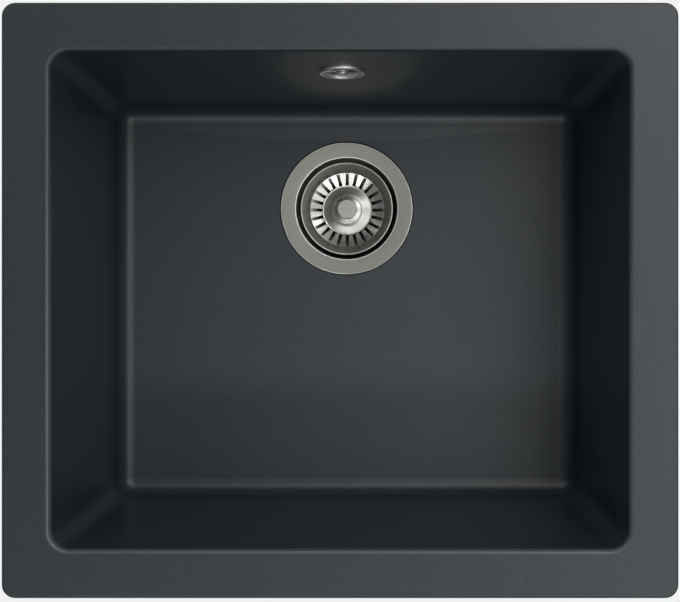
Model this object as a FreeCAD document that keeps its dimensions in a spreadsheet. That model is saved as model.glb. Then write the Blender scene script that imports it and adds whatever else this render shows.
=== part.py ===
import FreeCAD, Part
import math
import os
import types
import Sketcher
from FreeCAD import Rotation, Vector

# Inset kitchen sink in stone composite, with its basket strainer waste, its overflow
# and the clips that hold it in a worktop.
# Millimetres. The origin is the middle of the rim, in the plane of the rim's underside,
# which rests on the worktop. +X is to the right, +Y to the back, +Z up.

# Driving dimensions

SIZES = {
    # rim and bowl
    "rim_length": (500, "outside of the rim, left to right"),
    "rim_width": (440, "outside of the rim, front to back"),
    "rim_thickness": (10, "height of the rim above the worktop"),
    "rim_corner": (10, "corner radius of the rim in plan"),
    "rim_edge_round": (2, "rounding of the rim's top outer edge"),
    "rim_border": (36, "flat rim from its edge to the bowl's mouth"),
    "mouth_round": (4, "rounding of the edge between rim and bowl"),
    "bowl_depth": (200, "top of the rim to the floor beside the walls"),
    "wall_lean": (19, "how far each wall leans inwards over the bowl's depth"),
    "bowl_round": (14, "rounding between the walls, and between walls and floor"),
    "wall_thickness": (8.5, "thickness of the bowl's walls, square to them"),
    "floor_thickness": (10, "thickness of the floor beside the walls"),
    "floor_fall": (0.8, "drop of the floor from the walls to the waste"),
    "fall_margin": (0.5, "level strip between the floor rounding and the fall"),
    "island_border": (1.5, "level strip round the waste recess"),
    "waste_offset": (80, "waste centre behind the middle of the bowl"),
    "recess_gap": (0.8, "gap round the waste flange in its recess"),
    "waste_hole_gap": (0.5, "gap round the strainer well in the floor hole"),
    "boss_border": (5, "underside boss beyond the lower gasket"),
    "boss_height": (4, "underside boss below the floor"),
    "overflow_drop": (62, "overflow centre below the top of the rim"),
    "overflow_hole": (30, "overflow hole through the back wall"),
    # strainer waste
    "flange_border": (12.5, "flange of the strainer well beyond the well's outside"),
    "sheet_wall": (1, "steel sheet of the strainer well"),
    "flange_dish": (0.5, "fall of the flange towards the well"),
    "flange_edge_round": (0.6, "rounding of the flange's outer edge"),
    "flange_gasket_thickness": (2, "gasket under the flange"),
    "flange_gasket_inset": (2, "gasket edge inside the flange edge"),
    "flange_gasket_gap": (2, "gasket bore beyond the floor hole"),
    "well_bore": (87, "inside of the strainer well at its top"),
    "well_lip_round": (2, "rounding between flange and well"),
    "well_taper": (2.5, "radial narrowing of the well over its depth"),
    "well_depth": (43, "flange seat down to the drain edge"),
    "well_floor_fall": (5, "fall of the well's conical floor"),
    "well_floor_round": (6, "rounding between the well's wall and floor"),
    "drain_bore": (42, "drain throat in the well's floor"),
    "drain_edge_round": (1.5, "rounding of the drain's edge"),
    "throat_length": (16, "drain throat below its edge"),
    "spider_thickness": (3, "bars across the foot of the throat"),
    "spider_hub": (20, "hub in the middle of the bars"),
    "spider_bar": (4.5, "width of each bar"),
    "spider_bars": (4, "number of bars"),
    "floor_gasket_thickness": (3, "gasket under the floor"),
    "floor_gasket_inset": (1, "gasket edge inside the waste body's flange"),
    "floor_gasket_gap": (1, "gasket bore beyond the floor hole"),
    "body_flange_border": (8, "flange of the waste body beyond its cup"),
    "body_flange_thickness": (3, "thickness of the waste body's flange"),
    "body_gap": (1.5, "waste body's cup clear of the well"),
    "body_wall": (3, "wall of the waste body"),
    "body_cup_height": (44, "waste body's cup, flange to cone"),
    "body_cone_height": (14, "cone between cup and outlet"),
    "outlet_diameter": (47.8, "outlet thread, outside"),
    "outlet_bore": (40, "outlet bore"),
    "outlet_length": (26, "outlet below the cone"),
    "hub_diameter": (18, "hub in the waste body that takes the clamp screw"),
    "hub_height": (16, "height of that hub"),
    "hub_gap": (3, "hub below the foot of the drain throat"),
    "hub_rib": (3, "thickness of the ribs that carry the hub"),
    "hub_ribs": (4, "number of those ribs"),
    "body_gussets": (12, "gussets under the waste body's flange"),
    "gusset_reach": (6, "gusset beyond the cup"),
    "gusset_height": (10, "height of a gusset"),
    "gusset_thickness": (2, "thickness of a gusset"),
    "insert_diameter": (11, "brass insert in the hub"),
    "insert_length": (13, "length of that insert"),
    "clamp_thread": (8, "clamp screw thread"),
    "clamp_hole_gap": (0.4, "radial gap of the clamp screw in the bars' hub"),
    "clamp_head": (14, "clamp screw head"),
    "clamp_head_height": (11, "height of that head"),
    "clamp_socket": (8.2, "bore in the head that takes the basket stem"),
    "clamp_socket_depth": (10, "depth of that bore"),
    "clamp_shank": (24, "clamp screw below its head"),
    "clamp_chamfer": (0.8, "chamfers of the clamp screw"),
    # basket and its valve
    "basket_gap": (3.5, "gap between the basket's rim and the well"),
    "basket_level": (1, "top of the basket's rim above the flange seat"),
    "basket_sheet": (0.8, "steel sheet of the basket"),
    "basket_lip": (1.6, "height of the basket's turned-down rim"),
    "basket_lip_width": (1.4, "width of the flat on that rim"),
    "funnel_run": (7.35, "how far the funnel narrows, in radius"),
    "funnel_height": (14.5, "height of the funnel"),
    "slotted_run": (11.8, "how far the slotted wall narrows, in radius"),
    "basket_depth": (25, "basket rim down to the edge of its floor"),
    "basket_floor_rise": (2.4, "rise of the floor towards its middle"),
    "basket_boss": (25, "raised flat in the middle of the floor"),
    "basket_bend": (1.2, "bend radius of the basket's sheet"),
    "slot_count": (24, "slots in the basket's wall"),
    "slot_width": (2.8, "width of a slot"),
    "slot_margin": (0.9, "slot end to the next bend, in plan"),
    "bush_wall": (1.5, "wall of the bush in the basket"),
    "bush_flange": (1, "thickness of the bush's lower flange"),
    "bush_flange_width": (2, "width of that flange"),
    "stem_diameter": (6.5, "basket stem"),
    "stem_gap": (0.1, "running gap, radial, of the stem and its clip"),
    "basket_end_play": (0.1, "running gap above and below the basket"),
    "knob_diameter": (17.7, "top of the knob"),
    "knob_height": (18, "knob above the basket floor"),
    "knob_top": (3.4, "thickness of the knob's top"),
    "knob_top_round": (1.2, "rounding of the knob's top"),
    "knob_waist": (11, "narrowest diameter of the knob"),
    "knob_base": (25, "base flange of the knob"),
    "knob_base_thickness": (1.8, "thickness of that base"),
    "knob_bore_depth": (8, "stem's engagement in the knob"),
    "spacer_diameter": (12, "sleeve on the stem under the basket"),
    "washer_diameter": (30, "washer above the stopper seal"),
    "washer_thickness": (1.5, "thickness of that washer"),
    "seal_overlap": (4.6, "seal beyond the drain bore, radial"),
    "seal_thickness": (4.5, "stopper seal"),
    "seal_lip": (1.6, "edge thickness of the seal"),
    "seal_shoulder": (2.2, "flat top of the seal beyond the washer, radial"),
    "seal_lift": (0.15, "seal above the well's floor when shut"),
    "stem_shoulder": (12, "shoulder on the stem under the seal"),
    "stem_shoulder_thickness": (1.4, "thickness of that shoulder"),
    "stem_foot_gap": (0.6, "stem above the bottom of its socket"),
    "clip_collar_height": (5, "spring clip at the stem's foot"),
    "clip_groove": (0.9, "depth of the groove for that clip"),
    "clip_split": (1.6, "split in that clip"),
    # overflow
    "rosette_border": (3.25, "rosette beyond the edge of the wall hole"),
    "rosette_height": (2.6, "rosette proud of the wall"),
    "rosette_ring": (3.6, "width of the rosette's outer ring"),
    "rosette_step": (1.3, "width of the step inside that ring"),
    "rosette_step_drop": (1.6, "step below the ring"),
    "rosette_plate_drop": (2.3, "spoked plate below the ring"),
    "rosette_plate": (1.6, "thickness of the spoked plate"),
    "rosette_round": (1.4, "rounding of the ring towards the plate"),
    "rosette_edge_round": (1.9, "rounding of the ring's outer edge"),
    "rosette_opening_border": (0.9, "openings inside the collar's bore"),
    "rosette_hub": (10.4, "hub in the middle of the rosette"),
    "rosette_spoke": (7, "half angle taken by one spoke, degrees"),
    "rosette_openings": (3, "openings in the rosette"),
    "rosette_turn": (5, "angle of the first opening above the right, degrees"),
    "rosette_collar_gap": (0.4, "gap round the collar that centres the rosette"),
    "rosette_collar_length": (3, "length of that collar"),
    "rosette_collar_wall": (1.2, "wall of that collar"),
    "overflow_screw_thread": (5, "overflow screw"),
    "overflow_screw_head": (9, "head of the overflow screw"),
    "overflow_screw_head_height": (2.6, "height of that head"),
    "overflow_screw_length": (30, "overflow screw below its head"),
    "overflow_screw_slot": (0.9, "width of the driver slot in that head"),
    "overflow_screw_round": (0.9, "rounding of that head"),
    "overflow_seal_thickness": (3, "seal behind the wall"),
    "head_flange_border": (3, "flange of the overflow head beyond its outside"),
    "head_flange_thickness": (3, "thickness of that flange"),
    "head_mouth_border": (1, "mouth of the overflow head beyond the wall hole"),
    "head_border": (7, "outside of the overflow head beyond the wall hole"),
    "head_depth": (28, "overflow head behind the seal"),
    "head_wall": (2.5, "wall of the overflow head"),
    "head_edge_round": (3, "rounding of the overflow head's back edge"),
    "pillar_diameter": (12, "pillar in the head that takes the screw"),
    "pillar_height": (16, "height of that pillar"),
    "head_insert_diameter": (7, "brass insert in that pillar"),
    "head_insert_length": (10, "length of that insert"),
    "pipe_inset": (14, "overflow pipe's axis behind the overflow head's seal"),
    "pipe_diameter": (20, "overflow pipe, outside"),
    "pipe_wall": (1.5, "wall of the overflow pipe"),
    "pipe_lead": (5, "straight pipe out of the waste body's inlet, before the bend"),
    "socket_gap": (0.2, "radial gap of the pipe in its sockets"),
    "socket_wall": (2.8, "wall of the pipe sockets, out to their thread"),
    "passage_step": (0.5, "passage inside a socket narrower than the pipe's bore"),
    "socket_depth": (12, "pipe's engagement in each socket"),
    "head_socket_length": (18, "the head's socket beyond its outside"),
    "inlet_level": (34, "side inlet below the flange seat"),
    "inlet_length": (17, "side inlet beyond the waste body's cup"),
    "nut_wall": (2.75, "wall of a compression nut"),
    "nut_length": (17, "length of a compression nut"),
    "nut_end": (2.5, "end wall of a compression nut"),
    "nut_thread_gap": (0.25, "radial gap between nut and thread"),
    "nut_grips": (12, "grip grooves round a nut"),
    "nut_grip_size": (2.4, "diameter of a grip groove"),
    "nut_bevel": (1.6, "bevel on the nut's closed end"),
    "seal_ring_height": (4.5, "seal ring in a compression nut"),
    "seal_ring_gap": (0.1, "radial gap between the seal ring and the pipe"),
    # worktop clips
    "clip_spread": (120, "front and back clips from the middle line"),
    "clip_boss": (14, "clip boss under the rim"),
    "clip_boss_height": (12, "height of that boss"),
    "clip_boss_reach": (5.5, "clip axis beyond the outer face of the wall"),
    "clip_insert_diameter": (7, "brass insert in a boss"),
    "clip_insert_length": (10, "length of that insert"),
    "clip_thread": (5, "clip screw"),
    "clip_screw_grip": (8, "clip screw's engagement in its insert"),
    "clip_drop": (46, "underside of the claws below the rim's underside"),
    "clip_head_height": (4, "height of the clip screw's head"),
    "clip_head_width": (8, "clip screw's head across its flats"),
    "clip_head_flange": (12, "flange of the clip screw's head"),
    "clip_head_flange_thickness": (1.2, "thickness of that flange"),
    "claw_sheet": (2, "steel of a claw"),
    "claw_width": (14, "width of a claw"),
    "claw_length": (32, "clip axis to the tip of the claw"),
    "claw_rise": (12, "claw's tip above its arm"),
    "claw_foot": (5, "length of the claw's turned tip"),
    "claw_bend": (1.5, "bend radius inside a claw"),
    "claw_tooth": (1.2, "height of the teeth on a claw's tip"),
    "claw_teeth": (3, "teeth on a claw's tip"),
    "claw_gap": (0.1, "running gap of a claw on its screw"),
    "retainer_diameter": (11, "nylon ring above a claw"),
    "retainer_thickness": (3, "thickness of that ring"),
    # one overrun serves every cut
    "overrun": (5, "how far a cutting shape passes the face that it cuts"),
}

document = FreeCAD.newDocument("kitchen_sink")
sheet = document.addObject("Spreadsheet::Sheet", "Sizes")


class Dimension:
    """A size known both as its value now and as the expression that gives it."""

    def __init__(self, text, value):
        self.text = text
        self.value = value

    def __add__(self, other):
        return joined(self, "+", other, self.value + number(other))

    def __radd__(self, other):
        return joined(other, "+", self, number(other) + self.value)

    def __sub__(self, other):
        return joined(self, "-", other, self.value - number(other))

    def __rsub__(self, other):
        return joined(other, "-", self, number(other) - self.value)

    def __mul__(self, other):
        return joined(self, "*", other, self.value * number(other))

    def __rmul__(self, other):
        return joined(other, "*", self, number(other) * self.value)

    def __truediv__(self, other):
        return joined(self, "/", other, self.value / number(other))

    def __rtruediv__(self, other):
        return joined(other, "/", self, number(other) / self.value)

    def __neg__(self):
        return Dimension(f"(-1 * {self.text})", -self.value)


def number(item):
    return item.value if isinstance(item, Dimension) else item


def wording(item):
    return item.text if isinstance(item, Dimension) else str(item)


def joined(left, sign, right, value):
    return Dimension(f"({wording(left)} {sign} {wording(right)})", value)


def cosine(angle):
    return Dimension(f"cos({wording(angle)})", math.cos(math.radians(number(angle))))


def sine(angle):
    return Dimension(f"sin({wording(angle)})", math.sin(math.radians(number(angle))))


def slope_angle(run, height):
    """The angle in degrees whose tangent is run over height."""
    ratio = run / height
    return Dimension(f"(atan({ratio.text}) / 1deg)", math.degrees(math.atan(ratio.value)))


def fill_sheet():
    named = types.SimpleNamespace()
    for row, (name, (value, note)) in enumerate(SIZES.items(), start=1):
        sheet.set(f"A{row}", name)
        sheet.set(f"B{row}", str(value))
        sheet.set(f"C{row}", note)
        sheet.setAlias(f"B{row}", name)
        setattr(named, name, Dimension(f"Sizes.{name}", value))
    document.recompute()
    return named


size = fill_sheet()

# Levels and places that several pieces share

rim_top = size.rim_thickness
mouth_length = size.rim_length - 2 * size.rim_border
mouth_width = size.rim_width - 2 * size.rim_border
floor_level = rim_top - size.bowl_depth
floor_underside = floor_level - size.floor_thickness
island_level = floor_level - size.floor_fall
well_outside = size.well_bore / 2 + size.sheet_wall
flange_radius = well_outside + size.flange_border
gasket_radius = flange_radius - size.flange_gasket_inset
recess_depth = size.flange_gasket_thickness + size.sheet_wall
recess_radius = flange_radius + size.recess_gap
seat_level = island_level - recess_depth
boss_underside = floor_underside - size.boss_height
waste_hole_radius = well_outside + size.waste_hole_gap
cup_radius = well_outside + size.body_gap + size.body_wall
body_flange_radius = cup_radius + size.body_flange_border
floor_gasket_radius = body_flange_radius - size.floor_gasket_inset
basket_radius = size.well_bore / 2 - size.basket_gap
funnel_foot_radius = basket_radius - size.funnel_run
basket_floor_radius = funnel_foot_radius - size.slotted_run
overflow_radius = size.overflow_hole / 2
head_radius = overflow_radius + size.head_border
socket_bore = size.pipe_diameter / 2 + size.socket_gap
socket_radius = socket_bore + size.socket_wall
inlet_reach = cup_radius + size.inlet_length
head_socket_reach = head_radius + size.head_socket_length

lean_angle = slope_angle(size.wall_lean, size.bowl_depth)
overflow_level = rim_top - size.overflow_drop
wall_run = size.wall_thickness / cosine(lean_angle)


def inside_half(mouth, level):
    """Half the bowl's inside width at a level, from its width at the mouth."""
    return mouth / 2 - size.wall_lean * (rim_top - level) / size.bowl_depth


overflow_face = inside_half(mouth_width, overflow_level)
outer_half_length = inside_half(mouth_length, 0) + wall_run
outer_half_width = inside_half(mouth_width, 0) + wall_run

# Levels of the waste kit are counted from the flange seat
drain_level = -size.well_depth
throat_foot = drain_level - size.throat_length
clamp_head_level = throat_foot + size.spider_thickness
clamp_head_top = clamp_head_level + size.clamp_head_height
hub_level = throat_foot - size.hub_gap
body_level = boss_underside - size.floor_gasket_thickness - seat_level
body_cup_foot = body_level - size.body_cup_height
body_outlet_top = body_cup_foot - size.body_cone_height
body_foot = body_outlet_top - size.outlet_length
basket_foot = size.basket_level - size.basket_depth
basket_floor_top = basket_foot + size.basket_sheet + size.basket_floor_rise
basket_floor_under = basket_foot + size.basket_floor_rise
knob_foot = basket_floor_top + size.basket_end_play
knob_level = basket_floor_top + size.knob_height
bush_foot = basket_floor_under - size.bush_flange
seal_foot = drain_level + size.seal_lift
seal_top = seal_foot + size.seal_thickness
washer_top = seal_top + size.washer_thickness
spacer_top = bush_foot - size.basket_end_play
shoulder_foot = seal_foot - size.stem_shoulder_thickness
socket_floor = clamp_head_top - size.clamp_socket_depth
stem_foot = socket_floor + size.stem_foot_gap

# Depths of the overflow are counted outwards from the bowl's inner wall
head_level = size.wall_thickness + size.overflow_seal_thickness
pipe_setback = head_level + size.pipe_inset
head_back = head_level + size.head_depth
pillar_level = head_back - size.head_wall - size.pillar_height
screw_head_foot = size.rosette_plate + size.rosette_plate_drop - size.rosette_height


# Building blocks

def bind(target, name, dimension):
    target.setExpression(name, wording(dimension))


def origin_part(body, role):
    return next(item for item in body.Origin.OriginFeatures if item.Role == role)


def new_body(label, x=0, y=0, z=0, axis=None, turn=0):
    body = document.addObject("PartDesign::Body", label)
    body.Label = label
    place_object(body, x, y, z, axis, turn)
    return body


def place_object(item, x, y, z, axis=None, turn=0):
    turned = Rotation(axis, number(turn)) if axis else Rotation()
    item.Placement = FreeCAD.Placement(Vector(number(x), number(y), number(z)), turned)
    for letter, value in (("x", x), ("y", y), ("z", z)):
        if isinstance(value, Dimension):
            bind(item, f"Placement.Base.{letter}", value)
    if isinstance(turn, Dimension):
        bind(item, "Placement.Rotation.Angle", turn)


def new_sketch(body, name, role="XY_Plane", level=0):
    sketch = body.newObject("Sketcher::SketchObject", name)
    sketch.AttachmentSupport = [(origin_part(body, role), "")]
    sketch.MapMode = "FlatFace"
    if isinstance(level, Dimension):
        sketch.AttachmentOffset = FreeCAD.Placement(Vector(0, 0, level.value), Rotation())
        bind(sketch, "AttachmentOffset.Base.z", level)
    return sketch


def fix_value(sketch, constraint, dimension):
    index = sketch.addConstraint(constraint)
    if isinstance(dimension, Dimension):
        bind(sketch, f"Constraints[{index}]", dimension)
    return index


def fix_point(sketch, element, end, x, y):
    """Tie a point to its distances from the sketch's origin."""
    for kind, value in (("DistanceX", x), ("DistanceY", y)):
        constraint = Sketcher.Constraint(kind, -1, 1, element, end, number(value))
        fix_value(sketch, constraint, value)


def corner_tangents(before, here, after, radius):
    """Ends and centre of the arc of a radius that rounds a corner."""
    to_before = (before - here).normalize()
    to_after = (after - here).normalize()
    half_angle = to_before.getAngle(to_after) / 2
    reach = radius / math.tan(half_angle)
    middle = (to_before + to_after).normalize()
    centre = here + middle * (radius / math.sin(half_angle))
    return here + to_before * reach, here + to_after * reach, centre


def outline(body, name, corners, role="XZ_Plane", level=0, closed=True):
    """Line outline through corners of (x, y) or, where one is rounded, (x, y, radius)."""
    sketch = new_sketch(body, name, role, level)
    count = len(corners)
    points = [Vector(number(corner[0]), number(corner[1]), 0) for corner in corners]
    arrive = list(points)
    leave = list(points)
    centres = {}
    for i, corner in enumerate(corners):
        if len(corner) == 3:
            before = points[i - 1]
            after = points[(i + 1) % count]
            arrive[i], leave[i], centres[i] = corner_tangents(before, points[i], after,
                                                              number(corner[2]))
    spans = count if closed else count - 1
    lines = [sketch.addGeometry(Part.LineSegment(leave[i], arrive[(i + 1) % count]))
             for i in range(spans)]
    for i, corner in enumerate(corners):
        line_in = lines[i - 1] if closed or i > 0 else None
        line_out = lines[i] if i < spans else None
        if i in centres:
            round_corner(sketch, corner, points[i], (arrive[i], leave[i], centres[i]),
                         line_in, line_out)
            continue
        if line_in is not None and line_out is not None:
            sketch.addConstraint(Sketcher.Constraint("Coincident", line_in, 2, line_out, 1))
        element, end = (line_out, 1) if line_out is not None else (line_in, 2)
        fix_point(sketch, element, end, corner[0], corner[1])
    return sketch


def round_corner(sketch, corner, point, arc_points, line_in, line_out):
    """Arc between two lines whose virtual corner is fixed by a construction point."""
    start, finish, centre = arc_points
    radius = number(corner[2])
    start_angle = math.atan2(start.y - centre.y, start.x - centre.x)
    finish_angle = math.atan2(finish.y - centre.y, finish.x - centre.x)
    turn = (finish_angle - start_angle) % (2 * math.pi)
    forward = turn < math.pi
    first, last = (start_angle, finish_angle) if forward else (finish_angle, start_angle)
    circle = Part.Circle(centre, Vector(0, 0, 1), radius)
    arc = sketch.addGeometry(Part.ArcOfCircle(circle, first, last))
    mark = sketch.addGeometry(Part.Point(point), True)
    start_end, finish_end = (1, 2) if forward else (2, 1)
    sketch.addConstraint(Sketcher.Constraint("Tangent", line_in, 2, arc, start_end))
    sketch.addConstraint(Sketcher.Constraint("Tangent", line_out, 1, arc, finish_end))
    sketch.addConstraint(Sketcher.Constraint("PointOnObject", mark, 1, line_in))
    sketch.addConstraint(Sketcher.Constraint("PointOnObject", mark, 1, line_out))
    fix_point(sketch, mark, 1, corner[0], corner[1])
    fix_value(sketch, Sketcher.Constraint("Radius", arc, radius), corner[2])


def circles(body, name, radii, role="XY_Plane", level=0, centre=(0, 0)):
    """Circles about one centre, tied to it and to their radii."""
    sketch = new_sketch(body, name, role, level)
    middle = Vector(number(centre[0]), number(centre[1]), 0)
    for radius in radii:
        circle = Part.Circle(middle, Vector(0, 0, 1), number(radius))
        ring = sketch.addGeometry(circle)
        fix_point(sketch, ring, 3, centre[0], centre[1])
        fix_value(sketch, Sketcher.Constraint("Radius", ring, number(radius)), radius)
    return sketch


def rounded_rectangle(body, name, half_x, half_y, corner, level):
    """Rectangle about the body's origin with rounded corners, at a level of the body."""
    corners = [(half_x, -half_y, corner), (half_x, half_y, corner),
               (-half_x, half_y, corner), (-half_x, -half_y, corner)]
    return outline(body, name, corners, "XY_Plane", level)


def feature(body, kind, name, sketch):
    item = body.newObject(f"PartDesign::{kind}", name)
    item.Profile = sketch
    sketch.Visibility = False
    return item


def pad(body, name, sketch, length, reverse=False, middle=False):
    item = feature(body, "Pad", name, sketch)
    bind(item, "Length", length)
    item.Reversed = reverse
    if middle:
        item.SideType = "Symmetric"
    return item


def pocket(body, name, sketch, length, reverse=False, middle=False):
    """Cut, with a test that the cut has really taken material away."""
    document.recompute()
    volume = body.Shape.Volume
    item = feature(body, "Pocket", name, sketch)
    bind(item, "Length", length)
    item.Reversed = reverse
    if middle:
        item.SideType = "Symmetric"
    document.recompute()
    if not body.Shape.Volume < volume:
        raise RuntimeError(f"{body.Label}: {name} cuts nothing")
    return item


def revolve(body, name, sketch, kind="Revolution"):
    item = feature(body, kind, name, sketch)
    item.ReferenceAxis = (origin_part(body, "Z_Axis"), [""])
    item.Angle = 360
    return item


def groove(body, name, sketch):
    """Turned cut, with the same test as a pocket."""
    document.recompute()
    volume = body.Shape.Volume
    item = revolve(body, name, sketch, "Groove")
    document.recompute()
    if not body.Shape.Volume < volume:
        raise RuntimeError(f"{body.Label}: {name} cuts nothing")
    return item


def polar(body, name, original, count, axis="Z_Axis"):
    item = body.newObject("PartDesign::PolarPattern", name)
    item.Originals = [original]
    item.Axis = (origin_part(body, axis), [""])
    item.Angle = 360
    bind(item, "Occurrences", count)
    body.Tip = item
    return item


def wedge(body, name, kind, levels, halves, centre_y=(0, 0)):
    """Four flat walls between two level rectangles, each (half x, half y), the low one first."""
    item = body.newObject(f"PartDesign::{kind}", name)
    item.AttachmentSupport = [(origin_part(body, "XZ_Plane"), "")]
    item.MapMode = "FlatFace"
    bind(item, "Ymin", levels[0])
    bind(item, "Ymax", levels[1])
    for mark, (half_x, half_y), middle in zip(("", "2"), halves, centre_y):
        bind(item, f"X{mark}min", -half_x)
        bind(item, f"X{mark}max", half_x)
        bind(item, f"Z{mark}min", -half_y - middle)
        bind(item, f"Z{mark}max", half_y - middle)
    return item


def edges_where(body, chosen, test=all):
    """Names of the body's edges of which all vertices, or any, pass a test."""
    document.recompute()
    names = []
    for index, edge in enumerate(body.Shape.Edges, start=1):
        if test(chosen(vertex.Point) for vertex in edge.Vertexes):
            names.append(f"Edge{index}")
    return names


def fillet(body, name, names, radius):
    item = body.newObject("PartDesign::Fillet", name)
    item.Base = (body.Tip if body.Tip != item else item.BaseFeature, names)
    bind(item, "Radius", radius)
    return item


def turned_piece(label, corners, x=0, y=0, z=0, axis=None, turn=0):
    """A body turned about its own Z axis from one outline."""
    body = new_body(label, x, y, z, axis, turn)
    sketch = outline(body, f"{label}_outline", corners)
    revolve(body, f"{label}_turning", sketch)
    return body


def ring_corners(inner, outer, low, high):
    return [(inner, low), (outer, low), (outer, high), (inner, high)]


def waste_piece(label, corners):
    return turned_piece(label, corners, 0, size.waste_offset, seat_level)


def overflow_place():
    """Place of the overflow: Z outwards through the back wall, Y down along it."""
    return (0, overflow_face, overflow_level, Vector(-1, 0, 0), 90 + lean_angle)


# Rim and bowl

TOLERANCE_SHARE = 1 / 1000


def near(value, dimension):
    """Whether a coordinate lies at a level, to a small share of the rim's thickness."""
    return abs(value - number(dimension)) < TOLERANCE_SHARE * number(size.rim_thickness)


def sink_bowl():
    body = new_body("sink_bowl")
    half_length = size.rim_length / 2
    half_width = size.rim_width / 2
    plan = rounded_rectangle(body, "rim_plan", half_length, half_width, size.rim_corner, 0)
    pad(body, "rim", plan, size.rim_thickness)
    rim_edges = edges_where(body, lambda point: near(point.z, rim_top))
    fillet(body, "rim_edge", rim_edges, size.rim_edge_round)
    bowl_outside(body)
    clip_bosses(body)
    bowl_inside(body)
    floor_and_waste_seat(body)
    wall_hole = circles(body, "overflow_hole_plan", [overflow_radius], "XZ_Plane")
    tilt_to_wall(wall_hole)
    pocket(body, "overflow_hole", wall_hole, 2 * (size.wall_thickness + size.overrun),
           middle=True)
    return body


def tilt_to_wall(sketch):
    """Turn a sketch so that it faces along the overflow's axis, on the inner wall."""
    offset = FreeCAD.Placement(Vector(0, overflow_level.value, -overflow_face.value),
                               Rotation(Vector(-1, 0, 0), lean_angle.value))
    sketch.AttachmentOffset = offset
    bind(sketch, "AttachmentOffset.Base.y", overflow_level)
    bind(sketch, "AttachmentOffset.Base.z", -overflow_face)
    bind(sketch, "AttachmentOffset.Rotation.Angle", lean_angle)


def bowl_form(body, name, kind, levels, reach):
    """The bowl's four leaning walls between two levels, at a reach outside its inside."""
    halves = [(inside_half(mouth_length, level) + reach,
               inside_half(mouth_width, level) + reach) for level in levels]
    wedge(body, name, kind, levels, halves)


def bowl_outside(body):
    bowl_form(body, "bowl_outside", "AdditiveWedge", (floor_underside, Dimension("0", 0)),
              wall_run)
    edges = edges_where(body, lambda point: near(point.z, floor_underside), any)
    fillet(body, "outside_edges", edges, size.bowl_round + size.wall_thickness)


def clip_places():
    """Clip axes as (x, y, direction of the parked claw in degrees)."""
    reach_x = outer_half_length + size.clip_boss_reach
    reach_y = outer_half_width + size.clip_boss_reach
    return [(-size.clip_spread, reach_y, 0), (size.clip_spread, reach_y, 0),
            (reach_x, 0, 270), (size.clip_spread, -reach_y, 180),
            (-size.clip_spread, -reach_y, 180), (-reach_x, 0, 90)]


def clip_bosses(body):
    for index, (x, y, _) in enumerate(clip_places(), start=1):
        plan = circles(body, f"clip_boss_{index}_plan", [size.clip_boss / 2], centre=(x, y))
        pad(body, f"clip_boss_{index}", plan, size.clip_boss_height, reverse=True)
        hole = circles(body, f"clip_hole_{index}_plan", [size.clip_insert_diameter / 2],
                       level=-size.clip_boss_height, centre=(x, y))
        pocket(body, f"clip_hole_{index}", hole, size.clip_insert_length, reverse=True)


def bowl_inside(body):
    bowl_form(body, "bowl_inside", "SubtractiveWedge", (floor_level, rim_top), 0)
    edges = edges_where(body, lambda point: near(point.z, floor_level), any)
    fillet(body, "inside_edges", edges, size.bowl_round)

    def at_mouth(point):
        return near(point.z, rim_top) and within_mouth(point)

    fillet(body, "mouth_edge", edges_where(body, at_mouth), size.mouth_round)


def within_mouth(point):
    slack = 1 + TOLERANCE_SHARE
    return (abs(point.x) < mouth_length.value / 2 * slack
            and abs(point.y) < mouth_width.value / 2 * slack)


def floor_and_waste_seat(body):
    inset = size.bowl_round + size.fall_margin
    island_half = recess_radius + size.island_border
    floor_half_x = inside_half(mouth_length, floor_level) - inset
    floor_half_y = inside_half(mouth_width, floor_level) - inset
    wedge(body, "floor_fall", "SubtractiveWedge", (island_level, floor_level),
          ((island_half, island_half), (floor_half_x, floor_half_y)),
          (size.waste_offset, 0))
    boss_radius = floor_gasket_radius + size.boss_border
    centre = (0, size.waste_offset)
    boss = circles(body, "waste_boss_plan", [boss_radius], level=boss_underside, centre=centre)
    pad(body, "waste_boss", boss, size.boss_height)
    recess = circles(body, "waste_recess_plan", [recess_radius], level=seat_level,
                     centre=centre)
    pocket(body, "waste_recess", recess, recess_depth + size.overrun, reverse=True)
    hole = circles(body, "waste_hole_plan", [waste_hole_radius], level=seat_level,
                   centre=centre)
    pocket(body, "waste_hole", hole, seat_level - boss_underside + size.overrun)


# Strainer waste

def flange_gasket():
    """The gasket follows the flange, which falls a little towards the well."""
    inner = waste_hole_radius + size.flange_gasket_gap
    height = size.flange_gasket_thickness
    fall = size.flange_dish * (gasket_radius - inner) / (gasket_radius - well_outside)
    return waste_piece("flange_gasket", [(inner, 0), (gasket_radius, 0),
                                         (gasket_radius, height), (inner, height - fall)])


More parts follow.
